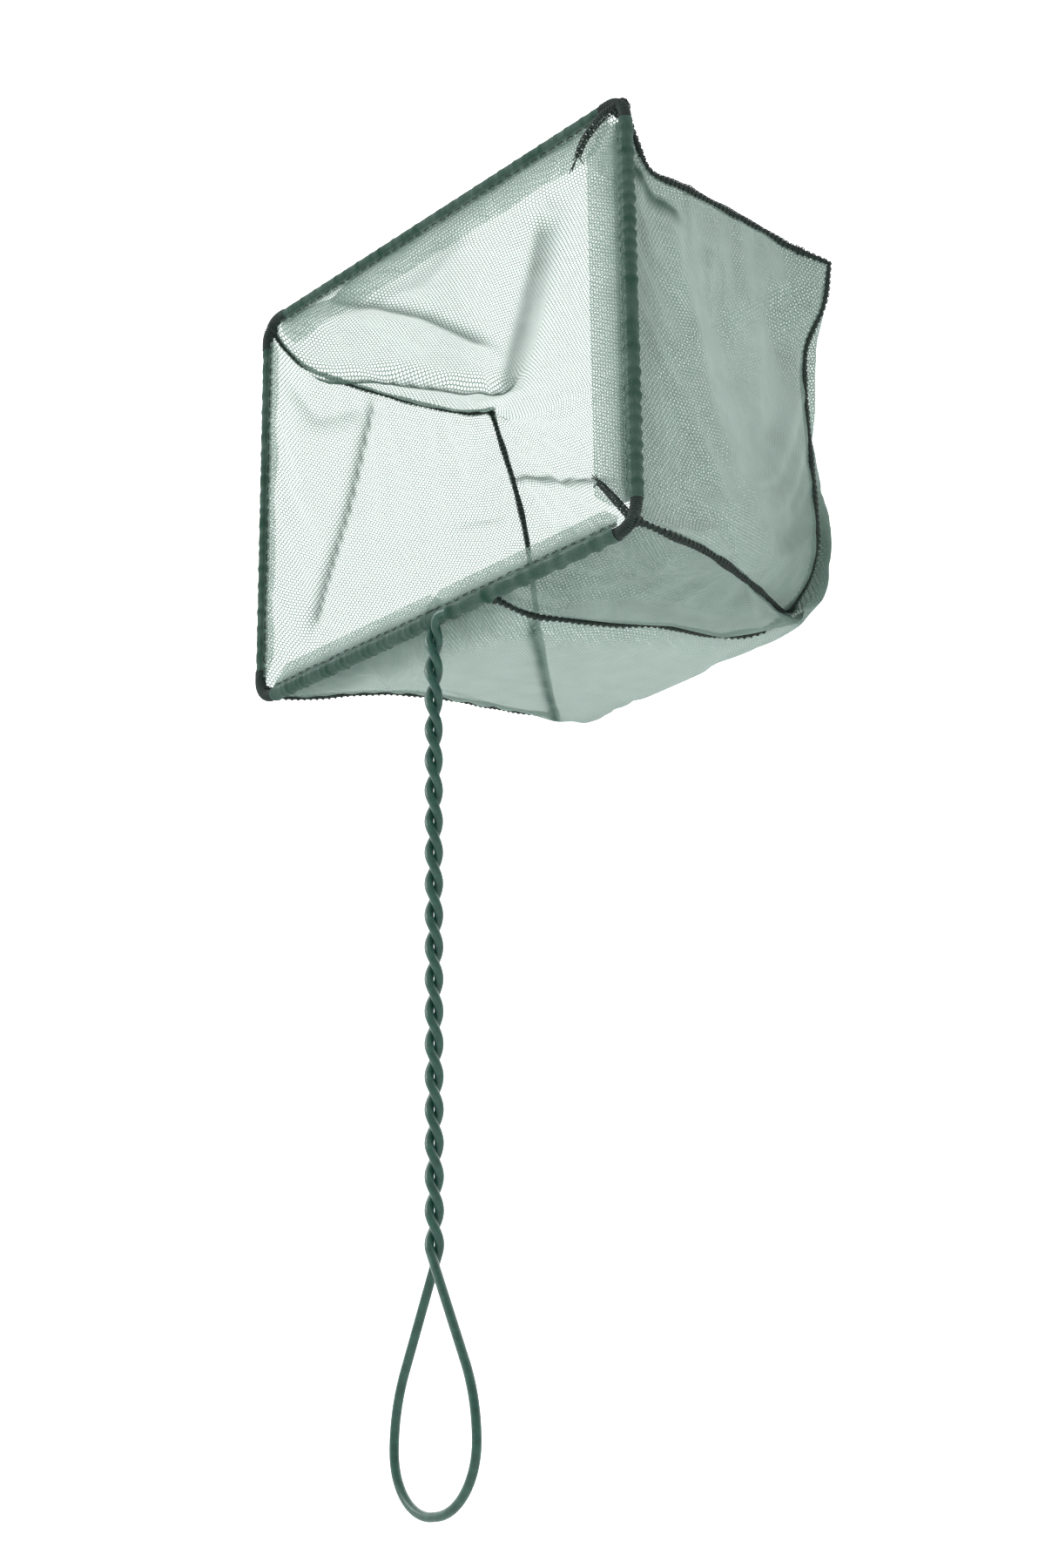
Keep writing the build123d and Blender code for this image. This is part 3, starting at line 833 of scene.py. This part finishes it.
left_seam_line, right_seam_line = whole_line(left_lines), whole_line(right_lines)
left_run = run_lengths(left_seam_line)
back_start, back_end = left_run[BACK_ROW] / left_run[-1], left_run[BOTTOM_ROW] / left_run[-1]
tuck_places = [right_lines["back"][-1]] + [under_the_bag(x * MM, y * MM) for x, y in TUCK_SEAM]
build_seam("left_seam", left_seam_line, [(back_start, 1.0), (back_end, 0.9), (0.0, 0.8), (1.0, 0.8)],
           wrap=0.8 * MM, core=0.62 * MM)
build_seam("right_seam", right_seam_line,
           [(0.0, 1.2), (0.12, 0.5), (back_start, 0.5), (back_end, 0.8), (1.0, 1.0)],
           wrap=0.9 * MM, core=0.7 * MM)
build_seam("bottom_tuck", smooth_line(tuck_places, 90), [(0.0, 0.5), (1.0, 0.8)],
           wrap=0.8 * MM, core=0.6 * MM)

TACK_REACH = 8.5 * MM
KNOT_INSET = 2.2 * MM
TACKS = {
    "corner_tack_top_left": (-1, True, 1.0),
    "corner_tack_top_right": (1, True, 2.0),
    "corner_tack_bottom_left": (-1, False, 1.0),
    "corner_tack_bottom_right": (1, False, 0.9),
}


def build_corner_tack(name, side, top, bulk, seed):
    """Thread wound round the wire's corner bend, with a knot of crossed loops over it."""
    rng = np.random.default_rng(seed)
    z = TOP_Z if top else BAR_Z
    inward = -1 if top else 1
    bend = rounded([(side * (SIDE_X - TACK_REACH), 0, z), (side * SIDE_X, 0, z),
                    (side * SIDE_X, 0, z + inward * TACK_REACH)], [HOOP_CORNER])
    coils = [wound_thread(bend, WIRE_RADIUS + 0.2 * MM, 0.5 * MM, steps=12)]
    knot = np.array([side * (SIDE_X - KNOT_INSET), 0.6 * MM, z + inward * KNOT_INSET])
    for _ in range(round(6 * bulk)):
        axis = Vector(rng.normal(size=3)).normalized()
        first = axis.orthogonal().normalized()
        second = axis.cross(first)
        size = rng.uniform(1.0, 1.7) * bulk ** 0.5 * MM
        angles = np.linspace(0, 2 * pi * 1.4, 22)
        coils.append([Vector(knot) + (first * cos(a) + second * sin(a)) * size * (1 + 0.1 * sin(3 * a))
                      + axis * 0.25 * MM * sin(2 * a) for a in angles])
    round_piece(name + "_wrap", coils, 0.22 * MM, DARK_THREAD, stands_for=name)


for seed, (tack_name, tack) in enumerate(TACKS.items(), start=40):
    build_corner_tack(tack_name, *tack, seed)

# Places across, deep and above the bottom bar, in millimetres, then thickness and seed.
TAILS = {
    "top_right_thread_tail": (
        [(73, -0.5, 114), (69, -1.5, 113), (65.3, -1.8, 111), (62, -2, 108.5), (60, -2, 105.5)], 1.2, 3),
    "bottom_right_thread_tail": (
        [(73.4, -0.5, 3), (71, -1.5, 6.5), (68.8, -1.8, 9.4), (65, -2, 14)], 1.0, 4),
}
TAIL_POINTS = 30
FRAY_LENGTH = 2.4 * MM
FRAY_DROOP = 0.8 * MM


def build_thread_tail(name, places, thick, seed):
    """A short chain of leftover thread that ends in a frayed tip."""
    rng = np.random.default_rng(seed)
    line = smooth_line([Vector((x * MM, y * MM, BAR_Z + z * MM)) for x, y, z in places], TAIL_POINTS)
    wide = np.linspace(1, 0.7, TAIL_POINTS) * thick * MM
    threads = [wound_thread(line, wide, 1.5 * MM, phase, turn, steps=9)
               for phase, turn in ((0, 1), (2, 1), (1, -1), (3.5, -1))]
    tip, before = line[-1], line[-4]
    for _ in range(5):
        way = Vector(tip - before).normalized() + Vector(rng.normal(size=3)) * 0.4
        threads.append([Vector(tip) + way * FRAY_LENGTH * f + Vector((0, 0, -FRAY_DROOP * f * f))
                        for f in (0, 0.35, 0.7, 1)])
    round_piece(name, threads, 0.16 * MM, DARK_THREAD, roundness=0)


for tail_name, tail in TAILS.items():
    build_thread_tail(tail_name, *tail)

# ---------------------------------------------------------------- camera, light and floor

CAMERA_AZIMUTH, CAMERA_ELEVATION, CAMERA_ROLL = radians(48.92), radians(-18.79), radians(-0.733)
CAMERA_TARGET = Vector((0.2898 * HOOP_HEIGHT, 0, BAR_Z - 0.4565 * HOOP_HEIGHT))
CAMERA_DISTANCE = 5.4345 * HOOP_HEIGHT
CAMERA_LENS = 60.68
FLOOR_Z = -1.6
KEY_PLACE = Vector((-0.7, -0.8, 0.7))
KEY_TARGET = Vector((0, 0, 0.1))
KEY_SIZE = 0.5
KEY_WATTS = 5.0


def build_camera():
    """Place the camera, and return the way it looks."""
    scene = bpy.context.scene
    level = cos(CAMERA_ELEVATION)
    back = Vector((sin(CAMERA_AZIMUTH) * level, -cos(CAMERA_AZIMUTH) * level, sin(CAMERA_ELEVATION)))
    right = (-back).cross(Vector((0, 0, 1))).normalized()
    up = right.cross(-back)
    camera = bpy.data.objects.new("camera", bpy.data.cameras.new("camera"))
    scene.collection.objects.link(camera)
    camera.data.sensor_width = 36
    camera.data.lens = CAMERA_LENS
    camera.data.clip_start = 0.01
    turned = Matrix((right * cos(CAMERA_ROLL) + up * sin(CAMERA_ROLL),
                     -right * sin(CAMERA_ROLL) + up * cos(CAMERA_ROLL), back))
    moved = Matrix.Translation(CAMERA_TARGET + back * CAMERA_DISTANCE)
    camera.matrix_world = moved @ turned.transposed().to_4x4()
    scene.camera = camera
    return -back


def build_studio(view):
    """A paper floor, air that is brighter behind the net than before it, and one soft lamp."""
    scene = bpy.context.scene
    bpy.ops.object.select_all(action="DESELECT")
    bpy.ops.mesh.primitive_plane_add(size=30, location=(0, 0, FLOOR_Z))
    floor = bpy.context.object
    floor.name = "studio_floor"
    paper = Material("studio_paper")
    floor.data.materials.append(paper.finish(
        paper.add("BsdfPrincipled", Base_Color=(0.86, 0.86, 0.86, 1), Roughness=0.9)))

    world = bpy.data.worlds.new("studio_air")
    scene.world = world
    world.use_nodes = True
    air = ShaderTree(world.node_tree, "OutputWorld")
    toward = air.add("VectorMath", {"operation": "DOT_PRODUCT"}, output="Value",
                     _0=air.add("TexCoord", output="Generated"), _1=tuple(view))
    bright = air.add("MapRange", Value=toward, From_Min=-0.4, From_Max=0.75, To_Min=0.6, To_Max=2.05)
    air.finish(air.add("Background", Color=(0.985, 1.0, 0.998, 1), Strength=bright))
    scene.view_settings.view_transform = "Standard"

    key = bpy.data.objects.new("key_left", bpy.data.lights.new("key_left", "AREA"))
    scene.collection.objects.link(key)
    key.data.size = KEY_SIZE
    key.data.energy = KEY_WATTS
    key.location = KEY_PLACE
    key.rotation_euler = (KEY_TARGET - KEY_PLACE).to_track_quat("-Z", "Y").to_euler()


build_studio(build_camera())
